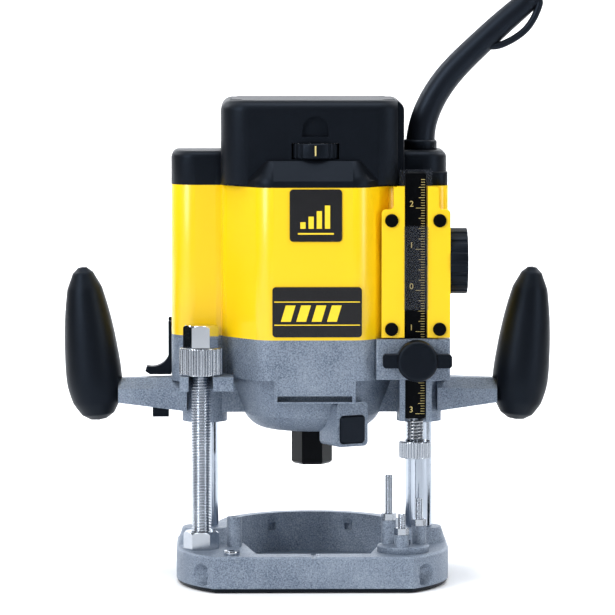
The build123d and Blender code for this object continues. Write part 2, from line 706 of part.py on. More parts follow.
spring_top = cap_z - 7.3
with BuildPart() as plunge_springs:
    for side in (-1, 1):
        coil_foot = (side * column_x, 0, spring_foot + 1)
        helix = Helix(
            spring_pitch, spring_top - spring_foot - 2, 4.35, center=coil_foot, mode=Mode.PRIVATE
        )
        with BuildSketch(Plane(origin=helix @ 0, z_dir=helix % 0)) as wire:
            Circle(spring_wire / 2)
        sweep(wire.sketch, path=helix, is_frenet=True)
keep(plunge_springs.part, "plunge_springs")

# ---------------------------------------------------------------- handles
for name, side, reach in (("handle_left", -1, left_reach), ("handle_right", 1, right_reach)):
    lean = side * radians(handle_lean)
    foot_point = (side * (reach - 2.2), 0, handle_foot)
    grip_plane = Plane(origin=foot_point, x_dir=(cos(lean), 0, -sin(lean)), z_dir=(0, -1, 0))
    with BuildPart() as handle:
        with BuildSketch(grip_plane):
            with BuildLine():
                curve = Spline(
                    (4.5, 0),
                    *[(radius, height) for height, radius in handle_radii],
                    (2.5, handle_length),
                    tangents=[(1, 0), (-1, 0)],
                )
                Polyline(curve @ 1, (0, handle_length), (0, 0), curve @ 0)
            make_face()
        revolve(axis=Axis(foot_point, (sin(lean), 0, cos(lean))))
        arm_end = side * (reach - arm_end_gap)
        x0, x1 = sorted((arm_end + side * 0.05, arm_end - side * 20))
        block(x0, x1, -11.3, 11.3, 109.7, 124.9, Mode.SUBTRACT)
        rod((side * (reach - 40), 0, 117), (side, 0, 0), stud_radius + 0.02, 46, Mode.SUBTRACT)
    keep(handle.part, name)

with BuildPart() as handle_studs:
    for side, reach in ((-1, left_reach), (1, right_reach)):
        rod((side * (reach - 29), 0, 117), (side, 0, 0), stud_radius, 34)
keep(handle_studs.part, "handle_studs")

# ---------------------------------------------------------------- spindle and motor
with BuildPart() as spindle_shaft:
    disc(0, 0, 78, nose_radius, lower_bearing_z - 78)
    disc(0, 0, lower_bearing_z, 10 - running, 15)
    disc(0, 0, 116, 8, stator_top + 3 - 116)
    disc(0, 0, stator_top + 3, 6, 20)
    disc(0, 0, upper_bearing_z - 1, 5 - running, 9)
    disc(0, 0, 77, collet_radius + 0.05, 17.2, Mode.SUBTRACT)
    for turn in range(4):
        angle = radians(lock_angle - 90 + 90 * turn)
        rod((0, 0, lock_z), (cos(angle), sin(angle), 0), 2.7, 12, Mode.SUBTRACT)
    disc(0, 0, 94.3, 6.0, 6)
keep(spindle_shaft.part, "spindle_shaft")

with BuildPart() as collet:
    disc(0, 0, 74.6, collet_radius, 19)
    disc(0, 0, 74.6, shank_radius, 19, Mode.SUBTRACT)
    for turn in range(2):
        with BuildSketch(Plane.XY.offset(74.6)):
            Rectangle(1, 20, rotation=90 * turn + 45)
        extrude(amount=14, mode=Mode.SUBTRACT)
keep(collet.part, "collet")

with BuildPart() as collet_nut:
    with BuildSketch(Plane.XY.offset(collet_nut_bottom)):
        RegularPolygon(collet_nut_flats / 2 / cos(pi / 6), 6)
    extrude(amount=collet_nut_top - collet_nut_bottom)
    chamfer(collet_nut.faces().sort_by(Axis.Z)[0].edges(), 1.4)
    disc(0, 0, 60, shank_radius + 0.4, 20, Mode.SUBTRACT)
    disc(0, 0, 74.4, collet_radius + 0.1, 4, Mode.SUBTRACT)
    disc(0, 0, 77.8, nose_radius + 0.03, 20, Mode.SUBTRACT)
keep(collet_nut.part, "collet_nut")

with BuildPart() as spindle_bearings:
    disc(0, 0, lower_bearing_z, 17.5, 13)
    disc(0, 0, lower_bearing_z, 10, 13, Mode.SUBTRACT)
    disc(0, 0, upper_bearing_z, 11, 8)
    disc(0, 0, upper_bearing_z, 5, 8, Mode.SUBTRACT)
keep(spindle_bearings.part, "spindle_bearings")

with BuildPart() as cooling_fan:
    disc(0, 0, 134, 13, 14)
    disc(0, 0, 134, 39, 2.4)
    with BuildSketch(Plane.XY.offset(136)):
        with PolarLocations(25, 11):
            Rectangle(26, 2.4, rotation=28)
        Circle(39, mode=Mode.INTERSECT)
    extrude(amount=10)
    disc(0, 0, 130, 8.02, 30, Mode.SUBTRACT)
keep(cooling_fan.part, "cooling_fan")

with BuildPart() as armature_core:
    disc(0, 0, stator_bottom, armature_radius, stator_top - stator_bottom)
    with BuildSketch(Plane.XY.offset(stator_bottom)):
        with PolarLocations(armature_radius - 3, 14):
            Rectangle(7, 3)
    extrude(amount=stator_top - stator_bottom, mode=Mode.SUBTRACT)
    disc(0, 0, stator_bottom, 8.02, 60, Mode.SUBTRACT)
keep(armature_core.part, "armature_core")

with BuildPart() as commutator:
    disc(0, 0, 218, commutator_radius, 15.5)
    disc(0, 0, 218, 6.02, 16, Mode.SUBTRACT)
    with BuildSketch(Plane.XY.offset(218)):
        with PolarLocations(commutator_radius, 24):
            Rectangle(2, 0.5)
    extrude(amount=15.5, mode=Mode.SUBTRACT)
keep(commutator.part, "commutator")

with BuildPart() as stator_core:
    disc(0, 0, stator_bottom, stator_radius, stator_top - stator_bottom)
    disc(0, 0, stator_bottom, armature_radius + 0.6, 60, Mode.SUBTRACT)
    for side in (-1, 1):
        x0, x1 = sorted((side * 24, side * 36))
        block(x0, x1, -20, 20, stator_bottom, stator_top, Mode.SUBTRACT)
keep(stator_core.part, "stator_core")

with BuildPart() as stator_coils:
    for side in (-1, 1):
        x0, x1 = sorted((side * 27.6, side * 35.4))
        block(x0, x1, -19.4, 19.4, stator_bottom - 6, stator_top + 2, corner=1.5)
keep(stator_coils.part, "stator_coils")

with BuildPart() as brush_holders:
    for side in (-1, 1):
        x0, x1 = sorted((side * 16, side * 46))
        block(x0, x1, -6.5, 6.5, 219, 232)
        x2, x3 = sorted((side * 15, side * 43))
        block(x2, x3, -4.05, 4.05, 221.5, 229.6, Mode.SUBTRACT)
keep(brush_holders.part, "brush_holders")

with BuildPart() as carbon_brushes:
    for side in (-1, 1):
        x0, x1 = sorted((side * (commutator_radius + 0.1), side * 36))
        block(x0, x1, -4, 4, 221.6, 229.5)
keep(carbon_brushes.part, "carbon_brushes")

# ---------------------------------------------------------------- spindle lock
with BuildPart() as lock_plunger:
    with BuildSketch(Plane(origin=lock_point(43.5), x_dir=(0, 0, 1), z_dir=lock_dir)):
        RectangleRounded(lock_button, lock_button, 2.4)
    extrude(amount=lock_outer - 43.5)
    chamfer(lock_plunger.faces().sort_by(Axis(lock_point(0), lock_dir))[-1].edges(), 0.9)
    rod(lock_point(10.2), lock_dir, 2.5, 34)
keep(lock_plunger.part, "lock_plunger")

# ---------------------------------------------------------------- depth stop
with BuildPart() as depth_bar:
    block(
        bar_x - bar_width / 2, bar_x + bar_width / 2, bar_front, bar_rear, bar_bottom, bar_top, corner=0.6
    )
    fillet(depth_bar.edges().filter_by(Axis.Y), 1.5)
    pitch = pi * rack_module
    for n in range(-2, 15):
        z = pinion_z - pitch * n
        with BuildSketch(Plane.YZ.offset(bar_x - bar_width / 2 - 1)):
            with BuildLine():
                Polyline(
                    (bar_rear + 1, z - 1.3),
                    (bar_rear, z - 1.22),
                    (bar_rear - 2.25, z - 0.62),
                    (bar_rear - 2.25, z + 0.62),
                    (bar_rear, z + 1.22),
                    (bar_rear + 1, z + 1.3),
                    close=True,
                )
            make_face()
        extrude(amount=bar_width + 2, mode=Mode.SUBTRACT)
    disc(bar_x, (bar_front + bar_rear) / 2, bar_bottom - 1, 3.0, 13, Mode.SUBTRACT)
keep(depth_bar.part, "depth_bar")

bar_y = (bar_front + bar_rear) / 2
with BuildPart() as fine_screw:
    disc(bar_x, bar_y, wheel_bottom + 1, fine_screw_radius, bar_bottom - wheel_bottom - 1)
    disc(bar_x, bar_y, bar_bottom, 2.98, 11)
keep(fine_screw.part, "fine_screw")

with BuildPart() as fine_wheel:
    disc(bar_x, bar_y, wheel_bottom, wheel_radius, wheel_height)
    chamfer(fine_wheel.edges().filter_by(GeomType.CIRCLE), 0.7)
    disc(bar_x, bar_y, wheel_bottom + 0.9, fine_screw_radius + running, 20, Mode.SUBTRACT)
keep(fine_wheel.part, "fine_wheel")

with BuildPart() as pinion_shaft:
    with BuildSketch(Plane(origin=(bar_x - 5.4, pinion_y, pinion_z), x_dir=(0, 1, 0), z_dir=(1, 0, 0))):
        Circle(4.9)
        for tooth in range(pinion_teeth):
            angle = 180 + 360 / pinion_teeth * tooth
            with Locations(Location((0, 0, 0), (0, 0, angle))):
                with BuildLine(mode=Mode.PRIVATE) as flank:
                    Polyline((4.6, -0.85), (6.7, -0.3), (6.7, 0.3), (4.6, 0.85), close=True)
                make_face(flank.edges())
    extrude(amount=10.6)
    rod((bar_x + 5.2, pinion_y, pinion_z), (1, 0, 0), knob_shaft_radius, knob_inner + 4 - bar_x - 5.2)
keep(pinion_shaft.part, "pinion_shaft")

with BuildPart() as depth_knob:
    with BuildSketch(Plane.YZ.offset(knob_inner)):
        with Locations((pinion_y, pinion_z)):
            Circle(knob_radius)
            with PolarLocations(knob_radius + 0.9, 18):
                Circle(1.7, mode=Mode.SUBTRACT)
    extrude(amount=knob_outer - knob_inner)
    fillet(depth_knob.faces().sort_by(Axis.X)[-1].edges(), 0.8)
    rod((knob_inner - 1, pinion_y, pinion_z), (1, 0, 0), knob_shaft_radius + 0.02, 5.1, Mode.SUBTRACT)
keep(depth_knob.part, "depth_knob")

with BuildPart() as scale_cursor:
    block(bar_x - 6.1, bar_x + 6.1, plate_front - 0.3, bar_front - 0.35, cursor_bottom, cursor_top)
    block(
        bar_x - 7.7, bar_x + 7.7, plate_front - 2.6, plate_front - 0.3, cursor_bottom, cursor_top, corner=1
    )
    block(bar_x - 5, bar_x + 5, plate_front - 4, plate_front - 1.4, 176, 212, Mode.SUBTRACT)
    for n in range(4):
        block(bar_x - 7.7, bar_x + 7.7, plate_front - 3.3, plate_front - 2.5, 214.4 + 2 * n, 215.4 + 2 * n)
keep(scale_cursor.part, "scale_cursor")

with BuildPart() as clamp_knob:
    with BuildSketch(Plane.XZ.offset(-block_front + 1)):
        with Locations((clamp_x, clamp_z)):
            Circle(clamp_radius)
    extrude(amount=12)
    fillet(clamp_knob.faces().sort_by(Axis.Y)[0].edges(), 2.5)
    with BuildSketch(Plane.XZ.offset(-block_front + 2.5)):
        with Locations((clamp_x, clamp_z)):
            RectangleRounded(2 * wing_span, wing_height, 2)
    extrude(amount=8.5)
    rod((clamp_x, block_front - 1, clamp_z), (0, 1, 0), 3.0, block_front * -1 + 1 + bar_front - 0.1)
keep(clamp_knob.part, "clamp_knob")

# ---------------------------------------------------------------- switch and plunge lock
with BuildPart() as power_slide:
    plate_x = -left_wing_outer - 0.3
    block(plate_x - 2, plate_x, slide_y0, slide_y1, slide_bottom, slide_top)
    with BuildSketch(Plane.XZ.offset(-slide_y1)):
        with BuildLine():
            Polyline(
                (plate_x, slide_bottom), (plate_x - 13.5, slide_bottom), (plate_x - 16.5, slide_bottom + 2)
            )
            Line((plate_x - 16.5, slide_bottom + 2), (plate_x - 15.5, slide_bottom + 5.5))
            ThreePointArc(
                (plate_x - 15.5, slide_bottom + 5.5),
                (plate_x - 5.5, slide_bottom + 7.2),
                (plate_x - 1.5, slide_bottom + 18),
            )
            Line((plate_x - 1.5, slide_bottom + 18), (plate_x, slide_bottom + 18))
            Line((plate_x, slide_bottom + 18), (plate_x, slide_bottom))
        make_face()
    extrude(amount=slide_y1 - slide_y0)
    block(plate_x - 1, -81.6, 9.8, slide_y1, 158, 162)
    block(plate_x - 2, plate_x, 9.8, slide_y1, 158, 162)
keep(power_slide.part, "power_slide")

with BuildPart() as switch_body:
    block(-80.4, -58, 14.6, 20.8, 158, 200)
keep(switch_body.part, "switch_body")

with BuildPart() as plunge_lock_lever:
    with BuildSketch(Plane.XZ.offset(-lever_y1)):
        with Locations((-column_x, lever_z)):
            Circle(9)
        with BuildLine():
            Polyline(
                (-column_x, lever_z + 7),
                (-98, lever_z - 1),
                (-100, lever_z - 4),
                (-100, 98.4),
                (-89.8, 98.4),
                (-89.8, lever_z - 8),
                (-column_x, lever_z - 8),
                close=True,
            )
        make_face()
    extrude(amount=lever_y1 - lever_y0)
    rod((-column_x, column_radius + 0.1, lever_z), (0, 1, 0), 4.0, 12)
keep(plunge_lock_lever.part, "plunge_lock_lever")

# ---------------------------------------------------------------- mains lead
with BuildPart() as cord_collar:
    disc(lead_x, lead_y, wing_top, 10.5, 6.2)
    fillet(cord_collar.faces().sort_by(Axis.Z)[-1].edges(), 2)
    disc(lead_x, lead_y, wing_top - 1, relief_radius + 0.15, 20, Mode.SUBTRACT)
keep(cord_collar.part, "cord_collar")

relief_route = [
    (lead_x, lead_y, 256),
    (lead_x, lead_y, 280.5),
    (75, lead_y, 299),
    (90, lead_y, 319.5),
    (117.4, lead_y, 345.3),
    (140, lead_y, 364.2),
]
with BuildPart() as cord_sleeve:
    with BuildLine() as relief_line:
        FilletPolyline(*relief_route, radius=bend_radii(relief_route))
    with BuildSketch(Plane(origin=relief_route[0], z_dir=relief_line.line % 0)):
        Circle(relief_radius)
    sweep()
    with BuildSketch(Plane.XZ.offset(-lead_y + 3.5)):
        with BuildLine():
            Polyline(
                (112, 337), (110.5, 328.5), (128.5, 335.5), (141, 350.5), (145, 361), (139, 361), close=True
            )
        make_face()
        with BuildLine():
            Polyline((118, 334.6), (126.5, 339), (136.5, 351), (138, 353.6), close=True)
        make_face(mode=Mode.SUBTRACT)
    extrude(amount=7)
keep(cord_sleeve.part, "cord_sleeve")

cord_route = [
    (140, 4, 364.2),
    (160.34, 4, 381.21),
    (191, 5, 386),
    (219, 8, 369),
    (233, 14, 331),
    (237, 24, 280),
    (235, 36, 220),
    (231, 46, 160),
    (228, 56, 104),
    (225, 64, 56),
    (222.6, 60, 18),
    (223, 44, 4.4),
    (224, 26, 3.9),
]
cord_bends = bend_radii(cord_route)
print("cord bend radii", [round(r) for r in cord_bends])
with BuildPart() as cord_tube:
    with BuildLine() as cord_line:
        FilletPolyline(*cord_route, radius=cord_bends)
    with BuildSketch(Plane(origin=cord_route[0], z_dir=cord_line.line % 0)):
        Circle(cord_diameter / 2)
    sweep()
print(
    "cord tube volume",
    round(cord_tube.part.volume),
    "section x length",
    round(pi * cord_diameter**2 / 4 * cord_line.wire().length),
    "length",
    round(cord_line.wire().length),
)
keep(cord_tube.part, "cord_tube")

layer = cord_diameter
with BuildPart() as cord_coil:
    disc(coil_x, coil_y, 0, coil_outer, 2 * layer)
    with BuildSketch(Plane.XY.offset(2 * layer)):
        with Locations((coil_x, coil_y)):
            Circle(coil_outer - layer / 2)
            Rectangle(80, 80, align=(Align.MAX, Align.MIN), mode=Mode.SUBTRACT)
    extrude(amount=layer)
    disc(coil_x, coil_y, -1, coil_inner, 60, Mode.SUBTRACT)
keep(cord_coil.part, "cord_coil")

plug_y, plug_z = coil_y + 38.0, 2 * layer + 8.5
with BuildPart() as plug_body:
    block(coil_x - 40, coil_x - 8, plug_y - 12, plug_y + 12, plug_z - 8.4, plug_z + 8.4)
    fillet(plug_body.edges().filter_by(Axis.X), 5)
    with BuildSketch(Plane(origin=(coil_x - 8, plug_y, plug_z), z_dir=(1, 0, 0))):
        Circle(6)
    with BuildSketch(Plane(origin=(coil_x - 0.5, plug_y, plug_z), z_dir=(1, 0, 0))):
        Circle(4.2)
    loft()
keep(plug_body.part, "plug_body")

with BuildPart() as plug_blades:
    for offset_y in (-6.35, 6.35):
        blade_y = plug_y + offset_y
        block(coil_x - 58, coil_x - 40, blade_y - 0.75, blade_y + 0.75, plug_z - 3.2, plug_z + 3.2)
keep(plug_blades.part, "plug_blades")
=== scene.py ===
# %% [markdown]
# # A plunge router, dressed for its portrait
# The engineering model is already finished: every casting, screw and sleeve is a named part that
# stays exactly where it is. This lesson gives those parts their finishes and builds the pieces
# whose character an exact model leaves out, such as threads, springs, knurling, print and cord.
#
# We start by loading the frame.

# %% load the frame
import bpy
import bmesh
import json
from math import cos, pi, radians, sin
from mathutils import Matrix, Vector


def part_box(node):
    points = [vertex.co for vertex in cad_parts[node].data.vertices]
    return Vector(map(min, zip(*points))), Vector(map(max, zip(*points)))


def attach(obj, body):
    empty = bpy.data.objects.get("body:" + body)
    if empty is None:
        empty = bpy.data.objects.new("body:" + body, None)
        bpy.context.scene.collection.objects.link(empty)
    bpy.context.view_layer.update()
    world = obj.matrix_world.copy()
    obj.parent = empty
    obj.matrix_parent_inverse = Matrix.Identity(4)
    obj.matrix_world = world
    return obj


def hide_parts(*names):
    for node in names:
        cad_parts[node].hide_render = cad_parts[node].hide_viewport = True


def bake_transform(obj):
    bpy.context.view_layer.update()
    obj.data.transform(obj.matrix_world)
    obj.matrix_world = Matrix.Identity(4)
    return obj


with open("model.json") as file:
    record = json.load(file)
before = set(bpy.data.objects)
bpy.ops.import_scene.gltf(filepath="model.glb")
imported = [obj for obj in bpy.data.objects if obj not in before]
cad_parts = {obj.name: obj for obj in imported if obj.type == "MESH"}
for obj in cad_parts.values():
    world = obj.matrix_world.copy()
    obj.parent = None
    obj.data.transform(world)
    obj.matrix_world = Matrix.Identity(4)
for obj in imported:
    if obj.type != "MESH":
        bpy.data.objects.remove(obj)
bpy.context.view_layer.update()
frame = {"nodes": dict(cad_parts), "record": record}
nodes = frame["nodes"]
slot_of = {row["node"]: row["material_slot"] for row in frame["record"]["subparts"]}
MM = 0.001

# %% [markdown]
# ## The camera
# A long lens from straight ahead keeps the columns upright and parallel. The camera stands a
# little above the middle of the tool, so the base shows its inside and the top cap its front.

# %% camera
camera = bpy.data.objects.new("camera", bpy.data.cameras.new("camera"))
bpy.context.scene.collection.objects.link(camera)
camera.location = (-0.041, -2.600, 0.390)
aim = Vector((-0.0027, 0.0, 0.1686))
camera.rotation_mode = "QUATERNION"
camera.rotation_quaternion = (aim - camera.location).to_track_quat("-Z", "Y")
camera.data.sensor_width = 36.0
camera.data.lens = 244.4
camera.data.clip_start, camera.data.clip_end = 0.05, 60.0
bpy.context.scene.camera = camera
print("camera is", round((aim - camera.location).length, 3), "m from its aim")

# %% [markdown]
# ## Small tools for making meshes
# Three helpers carry most of the modelling. `piece` turns points and faces into an object that
# rides on a body of the frame. `lathe` spins a profile, which suits knobs, nuts and handles.
# `tube` pushes a ring of points along a path, turning it as little as it can at each step, which
# suits springs and cord.

# %% mesh helpers
def piece(name, points, faces, body, smooth=True):
    mesh = bpy.data.meshes.new(name)
    mesh.from_pydata([tuple(p) for p in points], [], faces)
    mesh.validate()
    build = bmesh.new()
    build.from_mesh(mesh)
    bmesh.ops.recalc_face_normals(build, faces=build.faces)
    build.to_mesh(mesh)
    build.free()
    mesh.polygons.foreach_set("use_smooth", [smooth] * len(mesh.polygons))
    made = bpy.data.objects.new(name, mesh)
    bpy.context.scene.collection.objects.link(made)
    if body:
        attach(made, body)
    return made


def rings(count, sides, closed_ends=True):
    faces = []
    for i in range(count - 1):
        for j in range(sides):
            k = (j + 1) % sides
            faces.append((i * sides + j, i * sides + k, (i + 1) * sides + k, (i + 1) * sides + j))
    if closed_ends:
        faces.append(tuple(reversed(range(sides))))
        faces.append(tuple((count - 1) * sides + j for j in range(sides)))
    return faces


def lathe(name, profile, body, place=None, sides=64, wave=None):
    """profile is (radius, height) pairs from bottom to top; wave changes a radius with its angle."""
    place = place or Matrix.Identity(4)
    points = []
    for radius, height in profile:
        for j in range(sides):
            angle = 2 * pi * j / sides
            r = wave(radius, height, angle) if wave else radius
            points.append(place @ Vector((r * cos(angle), r * sin(angle), height)))
    return piece(name, points, rings(len(profile), sides), body)


def tube(name, path, radius, body, sides=16):
    path = [Vector(p) for p in path]
    radii = radius if isinstance(radius, list) else [radius] * len(path)
    ahead = (path[1] - path[0]).normalized()
    side = ahead.orthogonal().normalized()
    points = []
    for i, here in enumerate(path):
        before, after = path[max(i - 1, 0)], path[min(i + 1, len(path) - 1)]
        new_ahead = (after - before).normalized()
        side = (ahead.rotation_difference(new_ahead) @ side).normalized()
        side = (side - new_ahead * side.dot(new_ahead)).normalized()
        ahead = new_ahead
        up = ahead.cross(side)
        for j in range(sides):
            angle = 2 * pi * j / sides
            points.append(here + radii[i] * (cos(angle) * side + sin(angle) * up))
    return piece(name, points, rings(len(path), sides), body)


def soften(made, width, segments=2, angle=32):
    bevel = made.modifiers.new("edge", "BEVEL")
    bevel.width, bevel.segments = width, segments
    bevel.limit_method, bevel.angle_limit = "ANGLE", radians(angle)
    bevel.harden_normals = False
    return made


def plate(name, outline, depth, body, place, width=0.0):
    """A flat outline given depth; the outline lies in the place's X and Y."""
    build = bmesh.new()
    base = build.faces.new([build.verts.new((x, y, 0)) for x, y in outline])
    grown = bmesh.ops.extrude_face_region(build, geom=[base])
    moved = [v for v in grown["geom"] if isinstance(v, bmesh.types.BMVert)]
    bmesh.ops.translate(build, verts=moved, vec=(0, 0, depth))
    bmesh.ops.recalc_face_normals(build, faces=build.faces)
    build.transform(place)
    mesh = bpy.data.meshes.new(name)
    build.to_mesh(mesh)
    build.free()
    made = bpy.data.objects.new(name, mesh)
    bpy.context.scene.collection.objects.link(made)
    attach(made, body)
    return soften(made, width) if width else made


print("mesh helpers ready")

# %% [markdown]
# ## The cord, as one line
# The cord leaves the sleeve, falls in a loose bow to the floor and lies in a neat coil. It is one
# NURBS line: chosen points for the part in the air, then points made by a loop for the turns.
# The first points are the same ones the engineering model follows. A mesh tube follows the
# finished line.

# %% cord line
route = [
    (140, 4, 364.2),
    (160.34, 4, 381.21),
    (191, 5, 386),
    (219, 8, 369),
    (233, 14, 331),
    (237, 24, 280),
    (235, 36, 220),
    (231, 46, 160),
    (228, 56, 104),
    (225, 64, 56),
    (222.6, 60, 18),
    (223, 44, 4.4),
    (224, 26, 3.9),
]
coil_low, coil_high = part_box("cord_coil")
coil_x, coil_y = (coil_low.x + coil_high.x) / 2 / MM, (coil_low.y + coil_high.y) / 2 / MM
cord_d = 7.6
outer, inner = 46.4, 31.2


def turn_radius(turns):
    """Radius and height along the coil: in on the first layer, out on the second, in on the third."""
    layers = [(2.0, outer, inner, 0.5), (4.0, inner, outer, 1.5), (5.6, outer - 2, outer - 13, 2.5)]
    start = 0.0
    for end, r0, r1, level in layers:
        if turns <= end:
            share = (turns - start) / (end - start)
            rise = max(0.0, min(1.0, (turns - (end - 0.12)) / 0.12)) if level < 2.5 else 0.0
            return r0 + (r1 - r0) * share, (level + rise) * cord_d
        start = end
    return r1, level * cord_d


steps_per_turn = 12
coil_points = []
for step in range(1, int(5.6 * steps_per_turn)):
    turns = step / steps_per_turn
    radius, height = turn_radius(turns)
    angle = pi + 2 * pi * turns
    spread = radius / cos(pi / steps_per_turn)
    coil_points.append((coil_x + spread * cos(angle), coil_y + spread * sin(angle), height))
plug_low, plug_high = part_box("plug_body")
plug_y, plug_z = (plug_low.y + plug_high.y) / 2 / MM, (plug_low.z + plug_high.z) / 2 / MM
tail = [(coil_x + 20, plug_y + 1, plug_z), (plug_high.x / MM - 4, plug_y, plug_z)]
turns_end = len(coil_points)
while turns_end and coil_points[turns_end - 1][0] < coil_x + 16:
    turns_end -= 1
all_points = route + coil_points[:turns_end] + tail

curve = bpy.data.curves.new("cord_line", "CURVE")
curve.dimensions = "3D"
curve.resolution_u = 10
spline = curve.splines.new("NURBS")
spline.points.add(len(all_points) - 1)
for point, place in zip(spline.points, all_points):
    point.co = (place[0] * MM, place[1] * MM, place[2] * MM, 1.0)
spline.order_u = 3
spline.use_endpoint_u = True
line_object = bpy.data.objects.new("cord_line", curve)
bpy.context.scene.collection.objects.link(line_object)
bpy.context.view_layer.update()
followed = bpy.data.meshes.new_from_object(line_object)
cord_path = [v.co.copy() for v in followed.vertices]
bpy.data.objects.remove(line_object)

# %% [markdown]
# ## Node materials written as sums
# Shader graphs are easier to read as arithmetic. `Value` wraps one socket and overloads the
# operators, so `0.3 + 0.2 * noise` builds the Math nodes by itself, whichever side the number is
# on. `Painter.node` makes any other node: its type, its settings, then its sockets.

# %% shader helper
class Value:
    def __init__(self, painter, socket):
        self.painter, self.socket = painter, socket

    def math(self, operation, left, right=None):
        values = {0: left} if right is None else {0: left, 1: right}
        return self.painter.node("ShaderNodeMath", {"operation": operation}, values)

    def __add__(self, other):
        return self.math("ADD", self, other)

    def __radd__(self, other):
        return self.math("ADD", other, self)

    def __sub__(self, other):
        return self.math("SUBTRACT", self, other)

    def __rsub__(self, other):
        return self.math("SUBTRACT", other, self)

    def __mul__(self, other):
        return self.math("MULTIPLY", self, other)

    def __rmul__(self, other):
        return self.math("MULTIPLY", other, self)


class Painter:
    def __init__(self, name):
        self.material = bpy.data.materials.new(name)
        self.material.use_nodes = True
        self.tree = self.material.node_tree
        self.tree.nodes.clear()
        self.shader = self.tree.nodes.new("ShaderNodeBsdfPrincipled")
        self.output = self.tree.nodes.new("ShaderNodeOutputMaterial")
        self.tree.links.new(self.shader.outputs[0], self.output.inputs["Surface"])

    def put(self, socket, value):
        if isinstance(value, Value):
            self.tree.links.new(value.socket, socket)
        elif socket.type == "RGBA":
            socket.default_value = (*value, 1.0)
        else:
            socket.default_value = value

    def node(self, kind, settings, values, output=0):
        made = self.tree.nodes.new(kind)
        for key, setting in settings.items():
            setattr(made, key, setting)
        for key, value in values.items():
            self.put(made.inputs[key], value)
        return Value(self, made.outputs[output])

    def where(self, stretch=(1, 1, 1)):
        seen = self.node("ShaderNodeTexCoord", {}, {}, "Object")
        return self.node("ShaderNodeVectorMath", {"operation": "MULTIPLY"}, {0: seen, 1: stretch})

    def noise(self, scale, detail=3.0, rough=0.55, stretch=(1, 1, 1)):
        values = {"Vector": self.where(stretch), "Scale": scale, "Detail": detail, "Roughness": rough}
        return self.node("ShaderNodeTexNoise", {}, values, "Fac")

    def cells(self, scale, stretch=(1, 1, 1)):
        values = {"Vector": self.where(stretch), "Scale": scale}
        return self.node("ShaderNodeTexVoronoi", {}, values, "Distance")

    def blend(self, factor, first, second):
        made = self.tree.nodes.new("ShaderNodeMix")
        made.data_type = "RGBA"
        made.clamp_factor = True
        self.put(made.inputs[0], factor)
        self.put(made.inputs[6], first)
        self.put(made.inputs[7], second)
        return Value(self, made.outputs[2])

    def bump(self, height, strength, distance):
        return self.node(
            "ShaderNodeBump", {}, {"Height": height, "Strength": strength, "Distance": distance}, "Normal"
        )

    def set(self, **values):
        for key, value in values.items():
            self.put(self.shader.inputs[key.replace("_", " ")], value)
        return self.material


print("shader helper ready")

# %% [markdown]
# ## Castings and mouldings
# The castings are aluminium that has been tumbled: blue-grey, matt, with a grain like fine sand
# and slow changes of tone where the skin cooled unevenly. The mouldings are a warm yellow with a
# soft gloss, and blacks with a spark-eroded texture that catches light as a faint haze.

# %% cast and moulded finishes
finish = {}

p = Painter("cast_aluminium")
grain = p.noise(1150, 2.0, 0.75)
patch = p.noise(34, 3.0)
pits = p.cells(700)
tone = 3.0 * (0.72 * grain + 0.28 * patch) - 1.0
finish["cast_aluminium"] = p.set(
    Base_Color=p.blend(tone, (0.068, 0.097, 0.15), (0.315, 0.375, 0.46)),
    Metallic=0.4,
    Roughness=0.36 + 0.22 * grain,
    Normal=p.bump(grain + 0.4 * pits, 0.7, 0.0006),
)

p = Painter("yellow_plastic")
orange_peel = p.noise(700, 2.0)
slow = p.noise(14, 2.0)
finish["yellow_plastic"] = p.set(
    Base_Color=p.blend(slow, (0.92, 0.575, 0.001), (0.99, 0.67, 0.003)),
    Roughness=0.26 + 0.12 * orange_peel,
    Coat_Weight=0.25,
    Coat_Roughness=0.2,
    Normal=p.bump(orange_peel, 0.12, 0.0001),
)

p = Painter("black_plastic")
spark = p.noise(1900, 3.0, 0.65)
haze = p.noise(55, 3.0)
finish["black_plastic"] = p.set(
    Base_Color=p.blend(haze, (0.0008, 0.001, 0.0015), (0.003, 0.0035, 0.005)),
    Roughness=0.36 + 0.2 * spark,
    Specular_IOR_Level=0.22,
    Specular_Tint=(0.55, 0.72, 1.0),
    Normal=p.bump(spark, 0.3, 0.00015),
)

p = Painter("phenolic")
fleck = p.cells(420)
finish["phenolic"] = p.set(
    Base_Color=p.blend(fleck, (0.03, 0.015, 0.008), (0.09, 0.05, 0.03)),
    Roughness=0.45 + 0.2 * fleck,
)

p = Painter("cord_rubber")
skin = p.noise(1300, 3.0)
dust = p.noise(70, 4.0)
finish["cord_rubber"] = p.set(
    Base_Color=p.blend(dust, (0.001, 0.0012, 0.002), (0.005, 0.0055, 0.008)),
    Roughness=0.34 + 0.22 * skin,
    Specular_IOR_Level=0.3,
    Specular_Tint=(0.55, 0.72, 1.0),
    Normal=p.bump(skin, 0.2, 0.0001),
)
print("cast and moulded finishes:", sorted(finish))

# %% [markdown]
# ## Metals
# Every metal here is the same idea with other numbers: a base colour that drifts a little, a
# roughness broken up by fine marks, and marks stretched along the way the metal was worked.
# Ground rods carry marks round their girth, so the noise is squeezed along Z.

# %% metal finishes
def metal(name, dark, light, rough, spread, stretch=(1, 1, 1), scale=260, height=0.00005):
    p = Painter(name)
    marks = p.noise(scale, 4.0, 0.6, stretch)
    drift = p.noise(30, 2.0)
    finish[name] = p.set(
        Base_Color=p.blend(drift * 0.6 + 0.4 * marks, dark, light),
        Metallic=1.0,
        Roughness=rough + spread * marks,
        Normal=p.bump(marks, 0.25, height),
    )


